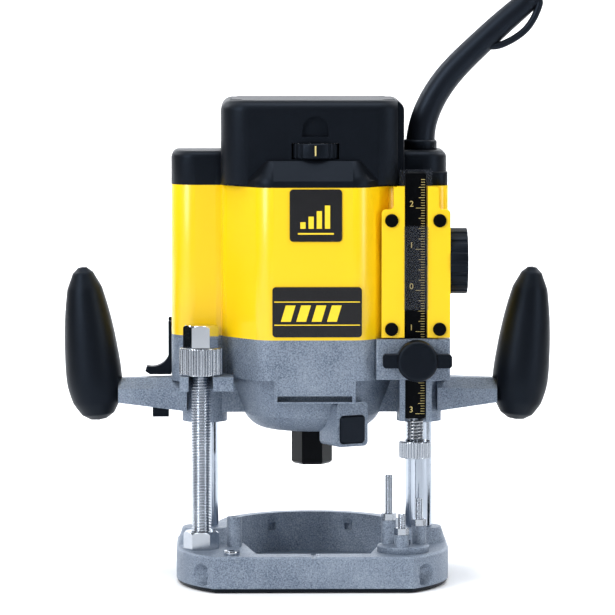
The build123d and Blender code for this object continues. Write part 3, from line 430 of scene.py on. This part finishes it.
metal("ground_steel", (0.30, 0.34, 0.41), (0.60, 0.66, 0.74), 0.07, 0.09, (1, 1, 14))
metal("zinc_steel", (0.30, 0.33, 0.38), (0.62, 0.66, 0.71), 0.14, 0.14)
metal("chrome", (0.50, 0.53, 0.57), (0.75, 0.78, 0.82), 0.05, 0.10)
metal("dark_steel", (0.003, 0.0035, 0.004), (0.010, 0.011, 0.013), 0.30, 0.14)
metal("spring_steel", (0.30, 0.31, 0.33), (0.50, 0.52, 0.55), 0.22, 0.12)
metal("bronze", (0.42, 0.27, 0.11), (0.62, 0.42, 0.19), 0.35, 0.2, scale=900)
metal("copper", (0.55, 0.23, 0.10), (0.80, 0.40, 0.22), 0.25, 0.15, (1, 1, 9))
metal("brass", (0.62, 0.45, 0.16), (0.85, 0.66, 0.30), 0.18, 0.14)
metal("lamination", (0.12, 0.12, 0.13), (0.32, 0.33, 0.35), 0.35, 0.2, (1, 1, 40))

p = Painter("carbon")
dusty = p.noise(1500, 3.0)
finish["carbon"] = p.set(
    Base_Color=p.blend(dusty, (0.01, 0.01, 0.01), (0.04, 0.04, 0.042)), Roughness=0.5 + 0.2 * dusty
)

p = Painter("label")
film = p.noise(240, 2.0)
finish["label"] = p.set(
    Base_Color=p.blend(film, (0.002, 0.002, 0.003), (0.006, 0.006, 0.008)), Roughness=0.2 + 0.1 * film
)

p = Painter("clear_plastic")
scuff = p.noise(600, 3.0, stretch=(1, 1, 0.1))
finish["clear_plastic"] = p.set(
    Base_Color=p.blend(scuff, (0.06, 0.07, 0.09), (0.16, 0.18, 0.22)),
    Roughness=0.05 + 0.06 * scuff,
    Alpha=0.06 + 0.10 * scuff,
)

p = Painter("print_gold")
ink = p.noise(2200, 2.0)
finish["print_gold"] = p.set(
    Base_Color=p.blend(ink, (0.62, 0.50, 0.16), (0.78, 0.66, 0.28)), Roughness=0.45 + 0.1 * ink
)

p = Painter("print_yellow")
ink = p.noise(1800, 2.0)
finish["print_yellow"] = p.set(
    Base_Color=p.blend(ink, (0.90, 0.62, 0.02), (1.0, 0.74, 0.03)), Roughness=0.4 + 0.1 * ink
)
print("finishes:", len(finish))

# %% [markdown]
# ## Dressing the CAD parts
# Each part takes the finish its material slot names. A bevel modifier rounds the sharp edges by a
# few tenths of a millimetre: real castings and mouldings have no knife edges, and it is the thin
# line of light along an edge that makes a shape read as solid.

# %% dress the CAD parts
edge_width = {
    "cast_aluminium": 0.9,
    "yellow_plastic": 0.5,
    "black_plastic": 0.5,
    "clear_plastic": 0.25,
    "zinc_steel": 0.25,
}


def wear(made, name, slot=True):
    made.data.materials.clear()
    made.data.materials.append(finish[name])
    slot and name in {row["slot"] for row in frame["record"]["materials"]}
    return made


for node_name, part in nodes.items():
    slot_name = slot_of[node_name]
    for index in range(max(1, len(part.material_slots))):
        if index < len(part.material_slots):
            part.material_slots[index].material = finish[slot_name]
        else:
            part.data.materials.append(finish[slot_name])
    if slot_name in edge_width:
        weld = part.modifiers.new("weld", "WELD")
        weld.merge_threshold = 0.00001
        soften(part, edge_width[slot_name] * MM, 2, 38)
print("dressed", len(nodes), "parts")

# %% [markdown]
# ## Threads
# A screw thread is a helix, and a helix on a grid is simple: the radius at any point depends on
# the height less the share of a turn already made. Sampling that saw-tooth finely gives crests
# that climb correctly and cross the silhouette as small teeth.

# %% threads
def thread(name, x, y, low, high, tip, root, pitch, finish_name, body, tip_bevel=0.8, sides=28):
    per_pitch = 8
    count = int((high - low) / pitch * per_pitch) + 1
    points = []
    for i in range(count + 1):
        height = low + (high - low) * i / count
        for j in range(sides):
            phase = (height / pitch - j / sides) % 1.0
            tooth = 1 - abs(2 * phase - 1)
            radius = root + (tip - root) * min(1.0, max(0.0, tooth * 1.5 - 0.2))
            radius = min(radius, tip - tip_bevel + max(0.0, high - height))
            angle = 2 * pi * j / sides
            points.append(((x + radius * cos(angle)) * MM, (y + radius * sin(angle)) * MM, height * MM))
    made = piece(name, points, rings(count + 1, sides), body)
    return wear(made, finish_name)


def centre(node):
    low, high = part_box(node)
    return (low + high) / 2 / MM, low / MM, high / MM


rod_mid, rod_low, rod_high = centre("limit_rod")
rod = thread(
    "limit_rod_thread", rod_mid.x, rod_mid.y, rod_low.z, rod_high.z, 6.0, 5.1, 1.75,
    "zinc_steel", "base", sides=40,
)
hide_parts("limit_rod")

turret_x, turret_y = 55.5, -48.5
stop_circle, stop_foot = 10.8, 25.1
stop_angles_and_tops = [(143.0, 68.6), (23.0, 54.1), (-97.0, 46.5)]
for number, (angle, top) in enumerate(stop_angles_and_tops):
    x = turret_x + stop_circle * cos(radians(angle))
    y = turret_y + stop_circle * sin(radians(angle))
    thread(
            f"stop_screw_{number}", x, y, stop_foot, top, 2.5, 2.0, 0.9,
            "zinc_steel", "turret", 0.5, 24,
        )
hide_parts("turret_screws")

# %% [markdown]
# ## Knurled rings
# The stop ring and the fine adjuster are gripped by ribs. One wave does both: the radius dips
# between the ribs, and stops short of the bevels at both faces.

# %% knurled rings
def knurl(ribs, depth, low, high, sharp=1.0):
    def wave(radius, height, angle):
        if not low <= height <= high:
            return radius
        dip = abs(sin(ribs * angle / 2)) ** sharp
        return radius - depth * (1 - dip)
    return wave


def ring_profile(inner, outer, low, high, bevel):
    return [
        (inner, low), (outer - bevel, low), (outer - bevel * 0.3, low + bevel * 0.3),
        (outer, low + bevel), (outer, (low + high) / 2), (outer, high - bevel),
        (outer - bevel * 0.3, high - bevel * 0.3), (outer - bevel, high), (inner, high),
    ]


def ring(name, node, inner, finish_name, body, ribs, depth, bevel):
    mid, low, high = centre(node)
    outer = (high.x - low.x) / 2
    shape = ring_profile(inner, outer, low.z, high.z, bevel)
    place = Matrix.Translation((mid.x * MM, mid.y * MM, 0)) @ Matrix.Scale(MM, 4)
    wave = knurl(ribs, depth, low.z + bevel * 0.5, high.z - bevel * 0.5, 0.6)
    made = lathe(name, shape, None, place, ribs * 6, lambda r, h, a: wave(r, h, a) if r > inner + 1 else r)
    mesh = made.data
    build = bmesh.new()
    build.from_mesh(mesh)
    caps = [f for f in build.faces if len(f.verts) > 4]
    bmesh.ops.delete(build, geom=caps, context="FACES_ONLY")
    build.verts.ensure_lookup_table()
    count = ribs * 6
    for j in range(count):
        k = (j + 1) % count
        last = (len(shape) - 1) * count
        build.faces.new([build.verts[n] for n in (j, last + j, last + k, k)])
    bmesh.ops.recalc_face_normals(build, faces=build.faces)
    build.to_mesh(mesh)
    build.free()
    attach(made, body)
    mesh.polygons.foreach_set("use_smooth", [False] * len(mesh.polygons))
    return wear(made, finish_name)


nut_ring = ring("stop_ring", "knurled_nut", 6.1, "zinc_steel", "limit_nuts", 46, 0.55, 0.9)
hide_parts("knurled_nut")
wheel = ring("fine_adjuster_wheel", "fine_wheel", 5.3, "zinc_steel", "fine_adjuster", 34, 0.5, 0.8)
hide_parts("fine_wheel")
print("knurled:", nut_ring.name, wheel.name)

# %% [markdown]
# ## Springs
# A spring is a tube along a helix. The one below the stop bar keeps the fine adjuster from
# rattling round: it sits on a slim screw between the bar's foot and the wheel. The pair inside
# the columns lifts the head.

# %% springs
def helix(x, y, low, high, radius, turns, per_turn=20):
    total = int(turns * per_turn)
    path = []
    for i in range(total + 1):
        share = i / total
        angle = 2 * pi * turns * share
        height = low + (high - low) * share
        path.append(((x + radius * cos(angle)) * MM, (y + radius * sin(angle)) * MM, height * MM))
    return path


screw_mid = centre("fine_screw")[0]
_, wheel_low, wheel_high = centre("fine_wheel")
bar_mid, bar_low, bar_high = centre("depth_bar")
adjust_screw = thread(
    "fine_screw_thread", screw_mid.x, screw_mid.y, wheel_low.z + 1, bar_low.z + 2,
    3.2, 2.7, 1.0, "zinc_steel", "depth_rack", 0.4, 24,
)
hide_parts("fine_screw")
small_spring = tube(
    "fine_spring",
    helix(screw_mid.x, screw_mid.y, wheel_high.z + 0.4, bar_low.z - 0.4, 4.5, 6.5),
    0.65 * MM, "depth_rack", 8,
)
wear(small_spring, "spring_steel")
print("fine spring", len(small_spring.data.vertices), "points")

column_x = 67.0
coil_radius, coil_wire, coil_pitch = 4.35, 0.75, 9.0
_, spring_low, spring_high = centre("plunge_springs")
coil_turns = (spring_high.z - spring_low.z) / coil_pitch
for side, label in ((-1, "left"), (1, "right")):
    x = side * column_x
    coil_path = helix(
        x, 0, spring_low.z + coil_wire, spring_high.z - coil_wire, coil_radius, coil_turns
    )
    coil = tube(f"plunge_spring_{label}", coil_path, coil_wire * MM, None, 10)
    wear(coil, "spring_steel")
    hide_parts("plunge_springs")
    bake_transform(coil)

# %% [markdown]
# ## Grips
# Each handle is an egg-shaped grip on a leaning axis. The outline is a handful of radii; a
# smooth curve through them and a lathe give the form, and the cast arm enters through a fitted
# recess on the inner side.

# %% grips
def smooth_profile(knots, steps=8):
    made = []
    for i in range(len(knots) - 1):
        before = knots[max(i - 1, 0)]
        here, there = knots[i], knots[i + 1]
        beyond = knots[min(i + 2, len(knots) - 1)]
        for s in range(steps):
            t = s / steps
            height = here[0] + (there[0] - here[0]) * t
            a = 2 * here[1]
            b = (there[1] - before[1]) * t
            c = (2 * before[1] - 5 * here[1] + 4 * there[1] - beyond[1]) * t * t
            d = (-before[1] + 3 * here[1] - 3 * there[1] + beyond[1]) * t * t * t
            made.append((max(0.02, 0.5 * (a + b + c + d)), height))
    made.append((max(0.02, knots[-1][1]), knots[-1][0]))
    return made


grip_knots = [
    (0, 0.5), (0.8, 5.2), (4, 10.2), (12, 14.9), (25, 17.4), (45, 16.6), (65, 14.4), (83, 11.0),
    (93, 6.4), (96.2, 2.8), (96.6, 0.4),
]
handle_lean, handle_foot = 6.0, 98.2
arm_half, arm_low, arm_high, cut_depth = 11.3 * MM, 109.7 * MM, 124.9 * MM, 0.02
arm_section = [(-arm_half, arm_low), (arm_half, arm_low), (arm_half, arm_high), (-arm_half, arm_high)]
for name, node, side, reach in (
    ("grip_left", "handle_left", -1, 135.4), ("grip_right", "handle_right", 1, 130.0)
):
    lean = Matrix.Rotation(side * radians(handle_lean), 4, "Y")
    foot = Matrix.Translation((side * (reach - 2.2) * MM, 0, handle_foot * MM))
    grip = lathe(name, smooth_profile(grip_knots), None, foot @ lean @ Matrix.Scale(MM, 4), 72)
    cutter = plate(
        "cutter", arm_section, cut_depth, "head",
        Matrix.Translation((side * (reach - 14.5) * MM - (cut_depth if side > 0 else 0.0), 0, 0))
        @ Matrix(((0, 0, 1, 0), (1, 0, 0, 0), (0, 1, 0, 0), (0, 0, 0, 1))),
    )
    cut = grip.modifiers.new("arm", "BOOLEAN")
    cut.object, cut.operation, cut.solver = cutter, "DIFFERENCE", "EXACT"
    bpy.context.view_layer.update()
    result = bpy.data.meshes.new_from_object(grip.evaluated_get(bpy.context.evaluated_depsgraph_get()))
    grip.modifiers.clear()
    grip.data = result
    bpy.data.objects.remove(cutter)
    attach(grip, "head")
    wear(grip, "black_plastic")
    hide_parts(node)
print("grips made")

# %% [markdown]
# ## The cord and its sleeve
# The tube follows the line made at the start. The sleeve that guards the cord where it leaves the
# cap is thick at its root and slims towards the tip, with a flat ear to hang the tool by.

# %% cord and sleeve
cord = tube("mains_cord", cord_path, cord_d / 2 * MM, None, 20)
wear(cord, "cord_rubber")

lead_x, lead_y = 67.6, 4.0
sleeve_route = [
    (lead_x, 262, 9.4),
    (lead_x, 272, 9.1),
    (68.6, 281, 8.7),
    (71.2, 290, 8.5),
    (75.6, 299.6, 8.3),
    (82.4, 310.2, 8.2),
    (91.4, 320.6, 8.0),
    (103.6, 332.2, 7.8),
    (117.4, 345.1, 7.6),
    (129, 355, 7.3),
    (140.2, 364.4, 6.7),
]
sleeve_line = [(x * MM, lead_y * MM, z * MM) for x, z, thick in sleeve_route]
sleeve_radii = [thick * MM for x, z, thick in sleeve_route]
sleeve = tube("sleeve", sleeve_line, sleeve_radii, None, 40)
subdivide = sleeve.modifiers.new("smooth", "SUBSURF")
subdivide.levels = subdivide.render_levels = 2
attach(sleeve, "head")
wear(sleeve, "cord_rubber")
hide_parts("cord_sleeve")


def band(name, line, radius, body, finish_name):
    """A closed loop of round section through the points."""
    line = [Vector(p) * MM for p in line]
    dense = []
    for i in range(len(line)):
        p0, p1, p2, p3 = (line[(i + k) % len(line)] for k in (-1, 0, 1, 2))
        for s in range(6):
            t = s / 6
            dense.append(0.5 * (2 * p1 + (p2 - p0) * t + (2 * p0 - 5 * p1 + 4 * p2 - p3) * t * t
                                + (3 * p1 - 3 * p2 + p3 - p0) * t ** 3))
    return wear(tube(name, dense + [dense[0]], radius * MM, body, 12), finish_name)


ear = band(
    "sleeve_ear",
    [(110, 0, 333), (116, 0, 332), (126, 0, 336.5), (134, 0, 343),
     (139.5, 0, 352), (141, 0, 360), (128, 0, 352), (118, 0, 343)],
    2.3, "head", "cord_rubber",
)
ear.data.transform(Matrix.Translation((0, 0.001, 0)))

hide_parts("cord_tube", "cord_coil")
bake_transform(cord)

# %% [markdown]
# ## Print and marks
# The depth scale is a row of fine ticks, longer at every fourth, with a number at each inch. The
# two badges carry plain graphics: rising bars on the upper one and slanted blocks between two
# lines on the lower. Print is modelled as films a tenth of a millimetre thick.

# %% print
def film(name, outlines, y, body, finish_name, thickness=0.12):
    """Flat shapes facing the front; outlines are lists of (x, z)."""
    points, faces = [], []
    for outline in outlines:
        start, n = len(points), len(outline)
        points += [(x * MM, (y - thickness) * MM, z * MM) for x, z in outline]
        points += [(x * MM, y * MM, z * MM) for x, z in outline]
        faces.append(tuple(range(start, start + n)))
        faces.append(tuple(reversed(range(start + n, start + 2 * n))))
        for i in range(n):
            j = (i + 1) % n
            faces.append((start + i, start + j, start + n + j, start + n + i))
    return wear(piece(name, points, faces, body, False), finish_name)


def box2(x0, x1, z0, z1):
    return [(x0, z0), (x1, z0), (x1, z1), (x0, z1)]


def numeral(name, text, size, place, body, finish_name):
    font = bpy.data.curves.new(name, "FONT")
    font.body, font.size, font.extrude = text, size * MM, 0.00006
    font.align_x, font.align_y = "CENTER", "CENTER"
    temporary = bpy.data.objects.new(name + "_text", font)
    bpy.context.scene.collection.objects.link(temporary)
    bpy.context.view_layer.update()
    mesh = bpy.data.meshes.new_from_object(temporary)
    bpy.data.objects.remove(temporary)
    mesh.transform(place)
    made = bpy.data.objects.new(name, mesh)
    bpy.context.scene.collection.objects.link(made)
    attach(made, body)
    return wear(made, finish_name)


def facing(x, y, z):
    return Matrix.Translation((x * MM, y * MM, z * MM)) @ Matrix.Rotation(radians(90), 4, "X")


ticks = []
for n in range(0, 92):
    z = bar_low.z + 3.2 + n * 25.4 / 16
    if z > bar_high.z - 3:
        break
    long = 5.6 if n % 16 == 0 else 3.8 if n % 4 == 0 else 2.4
    ticks.append(box2(bar_mid.x + 5.6 - long, bar_mid.x + 5.6, z - 0.12, z + 0.12))
film("scale_ticks", ticks, bar_low.y, "depth_rack", "print_gold")
for number in range(6):
    z = bar_low.z + 5.6 + number * 25.4
    numeral(
        f"scale_number_{number}", str((3 - number) % 10 if number < 4 else 4 - (3 - number) % 4), 5.2,
        facing(bar_mid.x - 2.6, bar_low.y - 0.08, z), "depth_rack", "print_gold",
    )

badge_mid, badge_low, badge_high = centre("upper_badge")
bars = [
    box2(badge_mid.x - 9.5 + 5 * n, badge_mid.x - 6.3 + 5 * n, badge_low.z + 8, badge_low.z + 12 + 3.4 * n)
    for n in range(4)
]
underline = box2(badge_mid.x - 11, badge_mid.x + 11, badge_low.z + 4.4, badge_low.z + 5.4)
film("upper_badge_print", bars + [underline], badge_low.y, "head", "print_yellow")
badge_mid, badge_low, badge_high = centre("lower_badge")
w0, w1 = badge_low.x + 1.2, badge_high.x - 1.2
slants = [
    [(w0 + 4 + 9.4 * n, badge_low.z + 9.6), (w0 + 10 + 9.4 * n, badge_low.z + 9.6),
     (w0 + 13 + 9.4 * n, badge_low.z + 19.6), (w0 + 7 + 9.4 * n, badge_low.z + 19.6)]
    for n in range(4)
]
lines = [
    box2(w0, w1, badge_low.z + 7.2, badge_low.z + 7.8),
    box2(w0, w1, badge_low.z + 21.4, badge_low.z + 22.0),
]
film("lower_badge_print", slants + lines, badge_low.y, "head", "print_yellow")
dial_mid, dial_low, dial_high = centre("speed_dial")
dial_height = 9.4
numeral(
    "dial_number", "1", 9.0,
    facing(dial_mid.x, dial_low.y - 0.02, (dial_high.z + dial_high.z - dial_height) / 2),
    "dial", "print_gold",
)
print("ticks:", len(ticks))

# %% [markdown]
# ## Floor and light
# A pale floor that turns up into a wall behind the tool gives an even background. Its paint is
# clear from the back, so a camera that walks round behind still sees the tool. One large soft
# light from the upper left models the round forms, a second from the right opens the shadows,
# and two more brighten the wall. Four black cards stand just out of view: polished metal has no
# look of its own, and the dark bands the cards leave in it are what make the columns read round.

# %% floor and light
floor_points, floor_faces = [], []
profile = [(-6.0, 0.0), (1.6, 0.0)]
for n in range(1, 9):
    angle = radians(90 * n / 8)
    profile.append((1.6 + 1.2 * sin(angle), 1.2 - 1.2 * cos(angle)))
profile.append((2.8, 5.0))
for y, z in profile:
    floor_points += [(-6.0, y, z - 0.0004), (6.0, y, z - 0.0004)]
for n in range(len(profile) - 1):
    floor_faces.append((2 * n, 2 * n + 1, 2 * n + 3, 2 * n + 2))
p = Painter("floor_paint")
mottle = p.noise(3.0, 2.0)
behind = p.node("ShaderNodeNewGeometry", {}, {}, "Backfacing")
floor_paint = p.set(
    Base_Color=p.blend(mottle, (0.90, 0.92, 0.95), (0.95, 0.96, 0.98)),
    Roughness=0.6 + 0.1 * mottle,
    Alpha=1.0 - behind,
)
floor = piece("floor", floor_points, floor_faces, None)
if floor.data.polygons[0].normal.z < 0:
    floor.data.flip_normals()
floor.data.materials.append(floor_paint)


def softbox(name, place, target, size, power, colour=(1, 1, 1)):
    data = bpy.data.lights.new(name, "AREA")
    data.shape, data.size, data.size_y = "RECTANGLE", size[0], size[1]
    data.energy, data.color = power, colour
    made = bpy.data.objects.new(name, data)
    bpy.context.scene.collection.objects.link(made)
    made.location = place
    made.rotation_mode = "QUATERNION"
    made.rotation_quaternion = (Vector(target) - Vector(place)).to_track_quat("-Z", "Y")
    return made


def card(name, angle, distance, width, height, low=0.0):
    side = radians(angle)
    middle = Vector((distance * sin(side), -distance * cos(side), low))
    across = Vector((cos(side), sin(side), 0)) * width / 2
    up = Vector((0, 0, height))
    corners = [middle - across, middle + across, middle + across + up, middle - across + up]
    made = piece(name, corners, [(0, 1, 2, 3)], None)
    made.data.materials.append(card_paint)
    made.visible_camera = False


p = Painter("card_paint")
nap = p.noise(40, 2.0)
card_paint = p.set(
    Base_Color=p.blend(nap, (0.002, 0.002, 0.003), (0.006, 0.006, 0.008)), Roughness=0.8 + 0.1 * nap
)
for name, angle, distance, width in (
    ("card_front_left", -24, 1.0, 0.20),
    ("card_front_right", 26, 1.0, 0.16),
    ("card_side_left", -88, 1.0, 0.55),
    ("card_side_right", 84, 1.0, 0.60),
):
    card(name, angle, distance, width, 1.1)

bpy.context.scene.view_settings.view_transform = "Standard"
softbox("key", (-1.5, -1.6, 1.2), (0, 0, 0.17), (0.7, 1.6), 36)
softbox("fill", (1.7, -1.1, 0.7), (0, 0, 0.15), (0.4, 1.4), 12)
softbox("top", (0, -0.3, 2.0), (0, 0, 0.1), (1.8, 1.0), 24)
softbox("wall_left", (-1.6, 1.0, 1.6), (-0.4, 2.7, 0.6), (1.2, 1.2), 60)
softbox("wall_right", (1.6, 1.0, 1.6), (0.4, 2.7, 0.6), (1.2, 1.2), 60)
world = bpy.data.worlds.new("studio")
bpy.context.scene.world = world
world.use_nodes = True
world.node_tree.nodes["Background"].inputs["Color"].default_value = (0.93, 0.96, 1.0, 1)
world.node_tree.nodes["Background"].inputs["Strength"].default_value = 0.28
print("stage ready")
